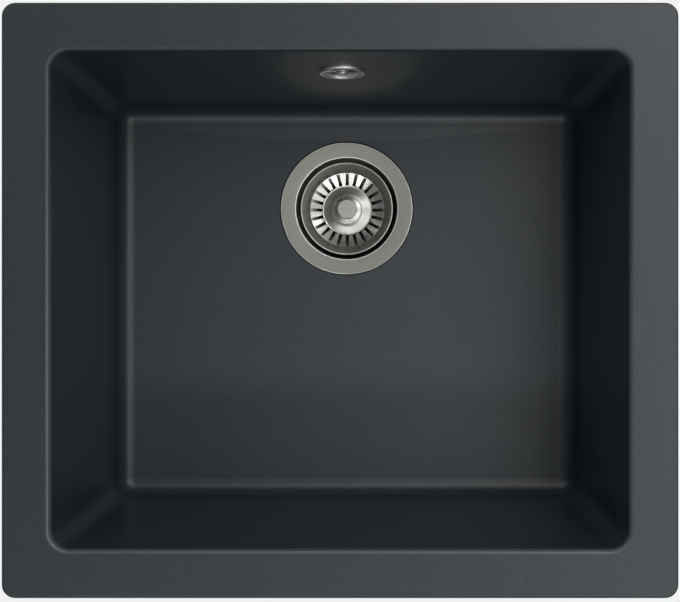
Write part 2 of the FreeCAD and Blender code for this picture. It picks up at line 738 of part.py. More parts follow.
def strainer_well():
    wall = size.sheet_wall
    flange_foot = size.flange_gasket_thickness
    bore = size.well_bore / 2
    foot = bore - size.well_taper
    drain = size.drain_bore / 2
    wall_foot = drain_level + size.well_floor_fall
    lip_level = flange_foot + wall - size.flange_dish
    corners = [
        (flange_radius, flange_foot),
        (flange_radius, flange_foot + wall, size.flange_edge_round),
        (bore, lip_level, size.well_lip_round),
        (foot, wall_foot, size.well_floor_round),
        (drain, drain_level, size.drain_edge_round),
        (drain, throat_foot),
        (drain + wall, throat_foot),
        (drain + wall, drain_level - wall),
        (foot + wall, wall_foot - wall, size.well_floor_round + wall / 2),
        (well_outside, flange_foot - size.flange_dish),
        (gasket_radius, flange_foot),
    ]
    body = waste_piece("strainer_well", corners)
    hub = circles(body, "spider_hub_plan", [size.spider_hub / 2], level=throat_foot)
    pad(body, "spider_hub", hub, size.spider_thickness)
    half_bar = size.spider_bar / 2
    bar_corners = [(0, -half_bar), (drain + wall / 2, -half_bar),
                   (drain + wall / 2, half_bar), (0, half_bar)]
    bar = outline(body, "spider_bar_plan", bar_corners, "XY_Plane", throat_foot)
    first_bar = pad(body, "spider_bar", bar, size.spider_thickness)
    polar(body, "spider_bars", first_bar, size.spider_bars)
    hole = circles(body, "clamp_hole_plan", [size.clamp_thread / 2 + size.clamp_hole_gap],
                   level=throat_foot)
    pocket(body, "clamp_hole", hole, size.spider_thickness + size.overrun, reverse=True)
    return body


def floor_gasket():
    bore = waste_hole_radius + size.floor_gasket_gap
    outside = floor_gasket_radius
    return waste_piece("floor_gasket", ring_corners(bore, outside, body_level,
                                                    body_level + size.floor_gasket_thickness))


def pipe_socket(body, reach, level, hollow_reach):
    """Seat for a pipe's end, and the passage from it into a hollow piece, along +Y."""
    seat = circles(body, "pipe_seat_plan", [socket_bore], "XZ_Plane", -reach, (0, level))
    pocket(body, "pipe_seat", seat, size.socket_depth, reverse=True)
    radius = size.pipe_diameter / 2 - size.pipe_wall - size.passage_step
    passage = circles(body, "pipe_passage_plan", [radius], "XZ_Plane", -reach, (0, level))
    pocket(body, "pipe_passage", passage, reach - hollow_reach, reverse=True)


def waste_body():
    wall = size.body_wall
    cup = cup_radius
    outlet = size.outlet_diameter / 2
    bore = size.outlet_bore / 2
    flange_foot = body_level - size.body_flange_thickness
    corners = [
        (0, body_level),
        (body_flange_radius, body_level),
        (body_flange_radius, flange_foot),
        (cup, flange_foot),
        (cup, body_cup_foot - wall, 2 * wall),
        (outlet, body_outlet_top - wall),
        (outlet, body_foot),
        (0, body_foot),
    ]
    body = waste_piece("waste_body", corners)
    inlet = circles(body, "inlet_plan", [socket_radius], "XZ_Plane",
                    -inlet_reach, (0, -size.inlet_level))
    pad(body, "inlet", inlet, inlet_reach)
    body_gussets(body, flange_foot)
    inside = outline(body, "inside", [(0, body_level), (cup - wall, body_level),
                                      (cup - wall, body_cup_foot),
                                      (bore, body_outlet_top), (bore, body_foot),
                                      (0, body_foot)])
    groove(body, "hollow", inside)
    pipe_socket(body, inlet_reach, -size.inlet_level, cup - 2 * wall)
    hub = circles(body, "hub_plan", [size.hub_diameter / 2], level=hub_level)
    pad(body, "hub", hub, size.hub_height, reverse=True)
    half_rib = size.hub_rib / 2
    rib_corners = [(0, -half_rib), (bore + wall / 2, -half_rib), (bore + wall / 2, half_rib),
                   (0, half_rib)]
    rib = outline(body, "rib_plan", rib_corners, "XY_Plane", body_outlet_top)
    first_rib = pad(body, "rib", rib, body_outlet_top - hub_level + size.hub_height,
                    reverse=True)
    polar(body, "ribs", first_rib, size.hub_ribs)
    seat = circles(body, "insert_seat_plan", [size.insert_diameter / 2], level=hub_level)
    pocket(body, "insert_seat", seat, size.insert_length)
    clearance = circles(body, "screw_passage_plan",
                        [size.clamp_thread / 2 + size.clamp_hole_gap], level=hub_level)
    pocket(body, "screw_passage", clearance, size.hub_height + size.overrun)
    return body


def body_gussets(body, flange_foot):
    """Thin triangular ribs between the waste body's flange and its cup."""
    inner = cup_radius - size.body_wall / 2
    side = outline(body, "gusset_side", [(inner, flange_foot),
                                         (cup_radius + size.gusset_reach, flange_foot),
                                         (cup_radius, flange_foot - size.gusset_height),
                                         (inner, flange_foot - size.gusset_height)])
    first = pad(body, "gusset", side, size.gusset_thickness, middle=True)
    polar(body, "gussets", first, size.body_gussets)


def waste_body_insert():
    return waste_piece("waste_body_insert",
                       ring_corners(size.clamp_thread / 2, size.insert_diameter / 2,
                                    hub_level - size.insert_length, hub_level))


def clamp_screw():
    head = size.clamp_head / 2
    shank = size.clamp_thread / 2
    socket = size.clamp_socket / 2
    chamfer = size.clamp_chamfer
    corners = [
        (0, clamp_head_level - size.clamp_shank),
        (shank - chamfer, clamp_head_level - size.clamp_shank),
        (shank, clamp_head_level - size.clamp_shank + chamfer),
        (shank, clamp_head_level),
        (head, clamp_head_level),
        (head, clamp_head_top - chamfer),
        (head - chamfer, clamp_head_top),
        (socket, clamp_head_top),
        (socket, socket_floor),
        (0, socket_floor),
    ]
    return waste_piece("clamp_screw", corners)


# Basket, and the valve that hangs from its stem

def basket_cup():
    sheet_wall = size.basket_sheet
    bend = size.basket_bend
    rim = basket_radius
    top = size.basket_level
    funnel_top = rim - size.basket_lip_width
    funnel_foot_level = top - size.funnel_height
    bore = size.stem_diameter / 2 + size.stem_gap + size.bush_wall
    floor_edge = basket_floor_radius
    boss = size.basket_boss / 2
    corners = [
        (rim, top - size.basket_lip),
        (rim, top, sheet_wall * 3 / 4),
        (funnel_top, top, sheet_wall * 3 / 4),
        (funnel_foot_radius, funnel_foot_level, bend),
        (floor_edge, basket_foot + sheet_wall, bend),
        (boss, basket_floor_top),
        (bore, basket_floor_top),
        (bore, basket_floor_under),
        (boss, basket_floor_under),
        (floor_edge, basket_foot),
        (funnel_foot_radius + sheet_wall, funnel_foot_level - sheet_wall),
        (funnel_top, top - 3 / 2 * sheet_wall),
        (rim - sheet_wall * 3 / 4, top - 3 / 2 * sheet_wall),
        (rim - sheet_wall * 3 / 4, top - size.basket_lip),
    ]
    body = waste_piece("basket_cup", corners)
    half_slot = size.slot_width / 2
    near_end = floor_edge + size.slot_margin
    far_end = funnel_foot_radius - size.slot_margin
    slot_corners = [(near_end, -half_slot), (far_end, -half_slot), (far_end, half_slot),
                    (near_end, half_slot)]
    slot = outline(body, "slot_plan", slot_corners, "XY_Plane", top)
    first_slot = pocket(body, "slot", slot, size.basket_depth + size.overrun)
    polar(body, "slots", first_slot, size.slot_count)
    return body


def cup_bush():
    bore = size.stem_diameter / 2 + size.stem_gap
    outside = bore + size.bush_wall
    flange = outside + size.bush_flange_width
    corners = [(bore, bush_foot), (flange, bush_foot), (flange, basket_floor_under),
               (outside, basket_floor_under), (outside, basket_floor_top),
               (bore, basket_floor_top)]
    return waste_piece("cup_bush", corners)


def basket_knob():
    top = size.knob_diameter / 2
    waist = size.knob_waist / 2
    base = size.knob_base / 2
    base_top = knob_foot + size.knob_base_thickness
    under_top = knob_level - size.knob_top
    stem = size.stem_diameter / 2
    corners = [
        (stem, knob_foot),
        (base, knob_foot),
        (base, base_top, size.knob_top_round / 2),
        (waist, base_top + size.knob_base_thickness, 2 * size.knob_top_round),
        (waist, under_top - size.knob_top / 2, 2 * size.knob_top_round),
        (top, under_top),
        (top, knob_level, size.knob_top_round),
        (0, knob_level),
        (0, knob_foot + size.knob_bore_depth),
        (stem, knob_foot + size.knob_bore_depth),
    ]
    return waste_piece("basket_knob", corners)


def basket_stem():
    stem = size.stem_diameter / 2
    shoulder = size.stem_shoulder / 2
    groove = stem - size.clip_groove
    groove_foot = stem_foot + size.stem_foot_gap
    corners = [
        (0, stem_foot),
        (stem, stem_foot),
        (stem, groove_foot),
        (groove, groove_foot),
        (groove, groove_foot + size.clip_collar_height),
        (stem, groove_foot + size.clip_collar_height),
        (stem, shoulder_foot),
        (shoulder, shoulder_foot),
        (shoulder, seal_foot),
        (stem, seal_foot),
        (stem, knob_foot + size.knob_bore_depth),
        (0, knob_foot + size.knob_bore_depth),
    ]
    return waste_piece("basket_stem", corners)


def stem_spacer():
    return waste_piece("stem_spacer", ring_corners(size.stem_diameter / 2,
                                                   size.spacer_diameter / 2,
                                                   washer_top, spacer_top))


def stopper_washer():
    return waste_piece("stopper_washer", ring_corners(size.stem_diameter / 2,
                                                      size.washer_diameter / 2,
                                                      seal_top, washer_top))


def stopper_seal():
    stem = size.stem_diameter / 2
    edge = size.drain_bore / 2 + size.seal_overlap
    fall = size.well_floor_fall
    slope = fall / (size.well_bore / 2 - size.well_taper - size.drain_bore / 2)
    edge_foot = seal_foot + size.seal_overlap * slope
    corners = [
        (stem, seal_foot),
        (size.drain_bore / 2, seal_foot),
        (edge, edge_foot),
        (edge, edge_foot + size.seal_lip),
        (size.washer_diameter / 2 + size.seal_shoulder, seal_top),
        (stem, seal_top),
    ]
    return waste_piece("stopper_seal", corners)


def stem_clip():
    inner = size.stem_diameter / 2 - size.clip_groove + size.stem_gap
    outer = size.clamp_socket / 2 - size.stem_gap
    foot = stem_foot + size.stem_foot_gap
    top = foot + size.clip_collar_height
    bevel = size.clip_groove
    body = waste_piece("stem_clip", [(inner, foot), (outer - bevel, foot),
                                     (outer, foot + bevel), (outer, top - bevel),
                                     (outer - bevel, top), (inner, top)])
    half_split = size.clip_split / 2
    split = outline(body, "split_plan", [(0, -half_split), (outer + half_split, -half_split),
                                         (outer + half_split, half_split), (0, half_split)],
                    "XY_Plane", top)
    pocket(body, "split", split, size.clip_collar_height)
    return body


# Overflow

def overflow_rosette():
    front = -size.rosette_height
    outside = overflow_radius + size.rosette_border
    ring = outside - size.rosette_ring
    step = ring - size.rosette_step
    plate_front = front + size.rosette_plate_drop
    plate_back = plate_front + size.rosette_plate
    collar = overflow_radius - size.rosette_collar_gap
    screw = size.overflow_screw_thread / 2 + size.socket_gap
    corners = [
        (screw, plate_front),
        (step, plate_front),
        (step, front + size.rosette_step_drop),
        (ring, front + size.rosette_step_drop),
        (ring, front, size.rosette_round),
        (outside, front, size.rosette_edge_round),
        (outside, 0),
        (collar, 0),
        (collar, size.rosette_collar_length),
        (collar - size.rosette_collar_wall, size.rosette_collar_length),
        (collar - size.rosette_collar_wall, plate_back),
        (screw, plate_back),
    ]
    body = turned_piece("overflow_rosette", corners, *overflow_place())
    opening = rosette_opening(body, collar - size.rosette_collar_wall
                              - size.rosette_opening_border)
    first = pocket(body, "opening", opening, size.rosette_height + size.rosette_plate
                   + size.overrun, middle=True)
    polar(body, "openings", first, size.rosette_openings)
    return body


def rosette_opening(body, outer):
    """Opening between two spokes: two arcs about the axis and two lines through it."""
    inner = size.rosette_hub / 2
    sketch = new_sketch(body, "opening_plan")
    half_opening = 180 / size.rosette_openings - size.rosette_spoke
    sides = (-size.rosette_turn - half_opening, half_opening - size.rosette_turn)
    start, finish = (math.radians(side.value) for side in sides)
    arcs = []
    for radius in (inner, outer):
        circle = Part.Circle(Vector(), Vector(0, 0, 1), radius.value)
        arc = sketch.addGeometry(Part.ArcOfCircle(circle, start, finish))
        sketch.addConstraint(Sketcher.Constraint("Coincident", arc, 3, -1, 1))
        fix_value(sketch, Sketcher.Constraint("Radius", arc, radius.value), radius)
        arcs.append(arc)
    for end, angle, side in ((1, start, sides[0]), (2, finish, sides[1])):
        direction = Vector(math.cos(angle), math.sin(angle), 0)
        line = sketch.addGeometry(Part.LineSegment(direction * inner.value,
                                                   direction * outer.value))
        sketch.addConstraint(Sketcher.Constraint("Coincident", line, 1, arcs[0], end))
        sketch.addConstraint(Sketcher.Constraint("Coincident", line, 2, arcs[1], end))
        sketch.addConstraint(Sketcher.Constraint("PointOnObject", -1, 1, line))
        index = sketch.addConstraint(Sketcher.Constraint("Angle", line, angle))
        bind(sketch, f"Constraints[{index}]", side)
    return sketch


def overflow_screw():
    head = size.overflow_screw_head / 2
    shank = size.overflow_screw_thread / 2
    foot = screw_head_foot - size.rosette_plate
    top = foot - size.overflow_screw_head_height
    slot_half = size.overflow_screw_slot / 2
    body = turned_piece("overflow_screw",
                        [(0, top), (head, top, size.overflow_screw_round), (head, foot),
                         (shank, foot), (shank, foot + size.overflow_screw_length),
                         (0, foot + size.overflow_screw_length)], *overflow_place())
    slot = outline(body, "driver_slot_plan", [(-head, -slot_half), (head, -slot_half),
                                              (head, slot_half), (-head, slot_half)],
                   "XY_Plane", top)
    pocket(body, "driver_slot", slot, size.overflow_screw_head_height / 2, reverse=True)
    return body


def overflow_seal():
    return turned_piece("overflow_seal",
                        ring_corners(overflow_radius + size.head_mouth_border,
                                     head_radius + size.head_flange_border,
                                     size.wall_thickness, head_level), *overflow_place())


def overflow_head():
    wall = size.head_wall
    outside = head_radius
    flange = outside + size.head_flange_border
    mouth = overflow_radius + size.head_mouth_border
    flange_back = head_level + size.head_flange_thickness
    pillar = size.pillar_diameter / 2
    insert = size.head_insert_diameter / 2
    insert_foot = pillar_level + size.head_insert_length
    corners = [
        (0, head_level),
        (flange, head_level),
        (flange, flange_back),
        (outside, flange_back),
        (outside, head_back, size.head_edge_round),
        (0, head_back),
    ]
    body = turned_piece("overflow_head", corners, *overflow_place())
    socket = circles(body, "socket_plan", [socket_radius], "XZ_Plane",
                     -head_socket_reach, (0, pipe_setback))
    pad(body, "socket", socket, head_socket_reach)
    inside = outline(body, "inside", [
        (0, head_level),
        (mouth, head_level),
        (mouth, flange_back),
        (outside - wall, flange_back),
        (outside - wall, head_back - wall),
        (pillar, head_back - wall),
        (pillar, pillar_level),
        (insert, pillar_level),
        (insert, insert_foot),
        (0, insert_foot),
    ])
    groove(body, "hollow", inside)
    pipe_socket(body, head_socket_reach, pipe_setback, outside - 2 * wall)
    return body


def overflow_head_insert():
    return turned_piece("overflow_head_insert",
                        ring_corners(size.overflow_screw_thread / 2,
                                     size.head_insert_diameter / 2, pillar_level,
                                     pillar_level + size.head_insert_length),
                        *overflow_place())


# The overflow pipe runs down behind the bowl, then forward into the waste body
pipe_top_y = overflow_face + pipe_setback * cosine(lean_angle)
pipe_top_z = overflow_level - pipe_setback * sine(lean_angle)
inlet_height = seat_level - size.inlet_level
inlet_mouth_y = size.waste_offset + inlet_reach
pipe_corner_y = pipe_top_y - (pipe_top_z - inlet_height) * sine(lean_angle) / cosine(lean_angle)
half_turn = (90 - lean_angle) / 2
pipe_bend = (pipe_corner_y - inlet_mouth_y - size.pipe_lead) * cosine(half_turn) / sine(half_turn)


def down_the_wall(distance):
    """Point on the pipe's axis at a distance down the wall from the overflow's axis."""
    return (pipe_top_y - distance * sine(lean_angle), pipe_top_z - distance * cosine(lean_angle))


def overflow_tube():
    body = new_body("overflow_tube")
    pipe_end = inlet_mouth_y - size.socket_depth
    upper_y, upper_z = down_the_wall(head_socket_reach - size.socket_depth)
    route = outline(body, "pipe_route", [(pipe_end, inlet_height),
                                         (pipe_corner_y, inlet_height, pipe_bend),
                                         (upper_y, upper_z)], "YZ_Plane", closed=False)
    outside = size.pipe_diameter / 2
    section = circles(body, "pipe_section", [outside - size.pipe_wall, outside],
                      "XZ_Plane", -pipe_end, (0, inlet_height))
    item = feature(body, "AdditivePipe", "pipe", section)
    item.Spine = route
    route.Visibility = False
    return body


def compression_nut(label, x, y, z, axis, turn):
    """Nut whose open end faces -Z: it screws over a socket that ends at its own origin."""
    thread = socket_radius + size.nut_thread_gap
    outside = thread + size.nut_wall
    end_face = size.seal_ring_height
    end_back = end_face + size.nut_end
    corners = [
        (socket_bore, end_face),
        (thread, end_face),
        (thread, end_back - size.nut_length),
        (outside, end_back - size.nut_length),
        (outside, end_back - size.nut_bevel),
        (outside - size.nut_bevel, end_back),
        (socket_bore, end_back),
    ]
    body = turned_piece(label, corners, x, y, z, axis, turn)
    groove = circles(body, "grip_plan", [size.nut_grip_size / 2],
                     level=end_back - size.nut_length, centre=(outside, 0))
    first = pocket(body, "grip", groove, size.nut_length, reverse=True)
    polar(body, "grips", first, size.nut_grips)
    return body


def compression_seal(label, x, y, z, axis, turn):
    inner = size.pipe_diameter / 2 + size.seal_ring_gap
    outer = socket_radius
    corners = [(inner, 0), (outer, 0), (outer, size.seal_ring_height / 2),
               (inner + (outer - inner) / 2, size.seal_ring_height),
               (inner, size.seal_ring_height)]
    return turned_piece(label, corners, x, y, z, axis, turn)


def compression_joints():
    upper_y, upper_z = down_the_wall(head_socket_reach)
    upper = (0, upper_y, upper_z, Vector(1, 0, 0), 180 - lean_angle)
    lower = (0, inlet_mouth_y, inlet_height, Vector(-1, 0, 0), 90)
    pieces = []
    for name, place in (("upper", upper), ("lower", lower)):
        pieces.append(compression_nut(f"{name}_compression_nut", *place))
        pieces.append(compression_seal(f"{name}_compression_seal", *place))
    return pieces


# Worktop clips

insert_foot = -size.clip_boss_height
claw_foot = -size.clip_drop
claw_top = claw_foot + size.claw_sheet
screw_head_top = claw_foot - size.claw_gap


def clip_insert_pattern():
    return turned_piece("clip_insert_pattern",
                        ring_corners(size.clip_thread / 2, size.clip_insert_diameter / 2,
                                     insert_foot, insert_foot + size.clip_insert_length))


def clip_screw_pattern():
    shank = size.clip_thread / 2
    flange = size.clip_head_flange / 2
    body = turned_piece("clip_screw_pattern",
                        [(0, screw_head_top - size.clip_head_flange_thickness),
                         (flange, screw_head_top - size.clip_head_flange_thickness),
                         (flange, screw_head_top), (shank, screw_head_top),
                         (shank, insert_foot + size.clip_screw_grip),
                         (0, insert_foot + size.clip_screw_grip)])
    hexagon = hexagon_plan(body, "hexagon_plan", size.clip_head_width / 2,
                           screw_head_top - size.clip_head_flange_thickness)
    pad(body, "hexagon", hexagon, size.clip_head_height - size.clip_head_flange_thickness,
        reverse=True)
    return body


def hexagon_plan(body, name, half_flats, level):
    corner = half_flats / cosine(30)
    corners = [(corner * cosine(60 * step), corner * sine(60 * step)) for step in range(6)]
    return outline(body, name, corners, "XY_Plane", level)


def clip_retainer_pattern():
    foot = claw_top + size.claw_gap
    return turned_piece("clip_retainer_pattern",
                        ring_corners(size.clip_thread / 2, size.retainer_diameter / 2, foot,
                                     foot + size.retainer_thickness))


def clip_group(label, pattern):
    """One node of six equal pieces, a copy of the pattern at each clip."""
    links = []
    for index, (x, y, turn) in enumerate(clip_places(), start=1):
        link = document.addObject("App::Link", f"{label}_{index}")
        link.LinkedObject = pattern
        link.LinkTransform = True
        place_object(link, x, y, 0, Vector(0, 0, 1), turn)
        links.append(link)
    group = document.addObject("Part::Compound", label)
    group.Label = label
    group.Links = links
    return group


def clip_claw(index, x, y, turn):
    sheet_wall = size.claw_sheet
    inner_bend = size.claw_bend
    outer_bend = size.claw_bend + sheet_wall
    riser = size.claw_length - size.claw_foot
    corners = [
        (0, claw_foot),
        (riser, claw_foot, outer_bend),
        (riser, claw_foot + size.claw_rise - sheet_wall, inner_bend),
        (size.claw_length, claw_foot + size.claw_rise - sheet_wall),
        (size.claw_length, claw_foot + size.claw_rise),
        (riser - sheet_wall, claw_foot + size.claw_rise, outer_bend),
        (riser - sheet_wall, claw_top, inner_bend),
        (0, claw_top),
    ]
    body = new_body(f"clip_claw_{index}", x, y, 0, Vector(0, 0, 1), turn)
    side = outline(body, "claw_side", corners)
    pad(body, "claw", side, size.claw_width, middle=True)
    hub = circles(body, "hub_plan", [size.claw_width / 2], level=claw_foot)
    pad(body, "hub", hub, sheet_wall)
    hole = circles(body, "screw_hole_plan", [size.clip_thread / 2 + size.claw_gap],
                   level=claw_foot)
    pocket(body, "screw_hole", hole, sheet_wall + size.overrun, reverse=True)
    claw_teeth(body, riser)
    return body


def claw_teeth(body, riser):
    """Row of teeth that stand on the claw's tip and bite the worktop's underside."""
    tip_top = claw_foot + size.claw_rise
    pitch = (size.claw_foot - size.claw_bend) / size.claw_teeth
    first = riser + size.claw_bend
    corners = [(first, tip_top - size.claw_sheet / 2)]
    for index in range(SIZES["claw_teeth"][0]):
        corners.append((first + pitch * index, tip_top))
        corners.append((first + pitch * (index + 1 / 2), tip_top + size.claw_tooth))
    corners.append((first + pitch * size.claw_teeth, tip_top))
    corners.append((first + pitch * size.claw_teeth, tip_top - size.claw_sheet / 2))
    plan = outline(body, "teeth_side", corners)
    pad(body, "teeth", plan, size.claw_width, middle=True)


def clips():
    pieces = [clip_group("clip_inserts", clip_insert_pattern()),
              clip_group("clip_screws", clip_screw_pattern()),
              clip_group("clip_retainers", clip_retainer_pattern())]
    for index, (x, y, turn) in enumerate(clip_places(), start=1):
        pieces.append(clip_claw(index, x, y, turn))
    return pieces


def check_document():
    document.recompute()
    for item in document.Objects:
        if "Invalid" in item.State or "Error" in item.State:
            raise RuntimeError(f"{item.Label} failed: {item.State}")


def write_pieces(pieces):
    for piece in pieces:
        shape = piece.Shape
        if shape.isNull() or not shape.isValid():
            raise RuntimeError(f"{piece.Label} has no valid shape")
    os.makedirs("parts", exist_ok=True)
    for piece in pieces:
        piece.Shape.exportStep(f"parts/{piece.Label}.step")
        print(piece.Label, len(piece.Shape.Solids), round(piece.Shape.Volume))


def main():
    pieces = [sink_bowl(), flange_gasket(), strainer_well(), floor_gasket(), waste_body(),
              waste_body_insert(), clamp_screw(), basket_cup(), cup_bush(), basket_knob(),
              basket_stem(), stem_spacer(), stopper_washer(), stopper_seal(), stem_clip(),
              overflow_rosette(), overflow_screw(), overflow_seal(), overflow_head(),
              overflow_head_insert(), overflow_tube()]
    pieces += compression_joints()
    pieces += clips()
    check_document()
    write_pieces(pieces)


main()
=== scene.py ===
import math

import bpy
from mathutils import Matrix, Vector


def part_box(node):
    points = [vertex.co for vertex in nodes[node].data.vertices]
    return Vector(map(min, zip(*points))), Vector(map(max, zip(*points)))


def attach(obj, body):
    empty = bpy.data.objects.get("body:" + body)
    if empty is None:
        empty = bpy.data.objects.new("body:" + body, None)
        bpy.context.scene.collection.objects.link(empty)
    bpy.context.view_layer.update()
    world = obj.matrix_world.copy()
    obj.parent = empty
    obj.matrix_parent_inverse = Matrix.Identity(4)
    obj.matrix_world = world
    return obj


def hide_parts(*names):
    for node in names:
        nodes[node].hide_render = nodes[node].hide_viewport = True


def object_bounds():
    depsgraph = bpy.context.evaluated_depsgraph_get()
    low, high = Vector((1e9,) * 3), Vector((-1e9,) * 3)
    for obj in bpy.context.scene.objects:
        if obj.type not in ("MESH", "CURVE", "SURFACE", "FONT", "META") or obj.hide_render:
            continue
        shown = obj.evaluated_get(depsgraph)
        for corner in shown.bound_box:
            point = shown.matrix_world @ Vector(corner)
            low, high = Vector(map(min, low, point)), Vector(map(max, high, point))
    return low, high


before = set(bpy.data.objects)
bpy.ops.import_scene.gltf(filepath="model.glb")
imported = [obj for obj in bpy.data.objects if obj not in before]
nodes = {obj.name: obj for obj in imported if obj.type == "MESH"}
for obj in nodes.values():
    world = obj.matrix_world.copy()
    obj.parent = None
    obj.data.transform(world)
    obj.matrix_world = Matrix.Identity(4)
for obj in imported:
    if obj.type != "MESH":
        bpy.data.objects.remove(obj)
cad_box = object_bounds()

MM = 0.001
WASTE_AXIS = (0, 80 * MM)
FUNNEL_TOP_RADIUS = 38.6 * MM
FUNNEL_FOOT_RADIUS = 32.65 * MM
FLOOR_EDGE_RADIUS = 20.85 * MM
WELL_RADIUS = 43.5 * MM
LIP_ROUND = 2 * MM
FLANGE_DISH = 0.5 * MM
LIP_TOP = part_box("strainer_well")[1][2] - FLANGE_DISH
LIP_FOOT = LIP_TOP - LIP_ROUND
FLANGE_EDGE_RADIUS = 56.2 * MM
LIP_REACH = 44.6 * MM

# Planes within the thickness of the bowl's walls, floor and rim, between its two sides.
# The walls lean out by WALL_LEAN for each unit of height.
WALL_LEAN = 0.095
WALL_CORE_ACROSS = 217 * MM
WALL_CORE_ALONG = 187 * MM
FLOOR_CORE = -192 * MM
RIM_CORE = 3 * MM
MOUTH_EDGE_FOOT = 5.8 * MM
MOUTH_EDGE_TOP = 9.97 * MM
MOUTH_EDGE_REACH = 6 * MM


# Shader expressions

class Wire:
    """A value in a finish. Python's operators on it add Math nodes."""

    def __init__(self, finish, socket):
        self.finish = finish
        self.socket = socket

    def __add__(self, other):
        return self.finish.maths("ADD", self, other)

    def __radd__(self, other):
        return self.finish.maths("ADD", other, self)

    def __sub__(self, other):
        return self.finish.maths("SUBTRACT", self, other)

    def __rsub__(self, other):
        return self.finish.maths("SUBTRACT", other, self)

    def __mul__(self, other):
        return self.finish.maths("MULTIPLY", self, other)

    def __rmul__(self, other):
        return self.finish.maths("MULTIPLY", other, self)

    def __pow__(self, other):
        return self.finish.maths("POWER", self, other)


class Finish:
    """A material and its node tree."""

    def __init__(self, name):
        self.material = bpy.data.materials.new(name)
        self.material.use_nodes = True
        self.tree = self.material.node_tree
        self.tree.nodes.clear()
        self.place = self.node("ShaderNodeTexCoord", output="Object")

    def node(self, kind, settings=None, output=0, **sockets):
        """A node of a type, its settings made first, then the values or links of its sockets."""
        item = self.tree.nodes.new(kind)
        for key, value in (settings or {}).items():
            setattr(item, key, value)
        for key, value in sockets.items():
            socket = item.inputs[int(key[1:])] if key[0] == "n" and key[1:].isdigit() \
                else item.inputs[key.replace("_", " ")]
            if isinstance(value, Wire):
                self.tree.links.new(value.socket, socket)
            else:
                socket.default_value = value
        outputs = item.outputs
        return Wire(self, outputs[output]) if len(outputs) else item

    def maths(self, operation, *values):
        inputs = {f"n{index}": value for index, value in enumerate(values)}
        return self.node("ShaderNodeMath", {"operation": operation}, **inputs)

    def split(self, vector):
        """The x, y and z of a vector."""
        item = self.node("ShaderNodeSeparateXYZ", Vector=vector)
        outputs = item.socket.node.outputs
        return [Wire(self, outputs[index]) for index in range(3)]

    def joined(self, x, y, z):
        return self.node("ShaderNodeCombineXYZ", X=x, Y=y, Z=z)

    def noise(self, vector, scale, detail, rough):
        return self.node("ShaderNodeTexNoise", Vector=vector, Scale=scale, Detail=detail,
                         Roughness=rough)

    def cell_colours(self, vector, scale):
        """A chance colour for each small cell."""
        return self.node("ShaderNodeTexVoronoi", output="Color", Vector=vector, Scale=scale)

    def mix(self, share, first, second):
        """Mixed colour: share 0 is the first."""
        return self.node("ShaderNodeMix", {"data_type": "RGBA"}, output=2, n0=share,
                         n6=first, n7=second)

    def bump(self, height, depth, strength, after=None):
        """Relief of a height map, depth in metres."""
        sockets = {"Strength": strength, "Distance": depth, "Height": height}
        if after is not None:
            sockets["Normal"] = after
        return self.node("ShaderNodeBump", **sockets)

    def about_axis(self, centre):
        """Radius and angle about an upright axis through centre, and height."""
        x, y, z = self.split(self.place)
        dx = x - centre[0]
        dy = y - centre[1]
        radius = (dx * dx + dy * dy) ** 0.5
        return radius, self.maths("ARCTAN2", dy, dx), z

    def shader(self, colour, roughness, metal, normal, **fixed):
        surface = self.node("ShaderNodeBsdfPrincipled", Base_Color=colour, Roughness=roughness,
                            Metallic=metal, Normal=normal, **fixed)
        self.node("ShaderNodeOutputMaterial", Surface=surface)
        return self.material


def colour(red, green, blue):
    """Linear colour, from values as they look on a screen, 0 to 255."""
    linear = [((level / 255 + 0.055) / 1.055) ** 2.4 if level > 10 else level / 255 / 12.92
              for level in (red, green, blue)]
    return (*linear, 1)


# Finishes

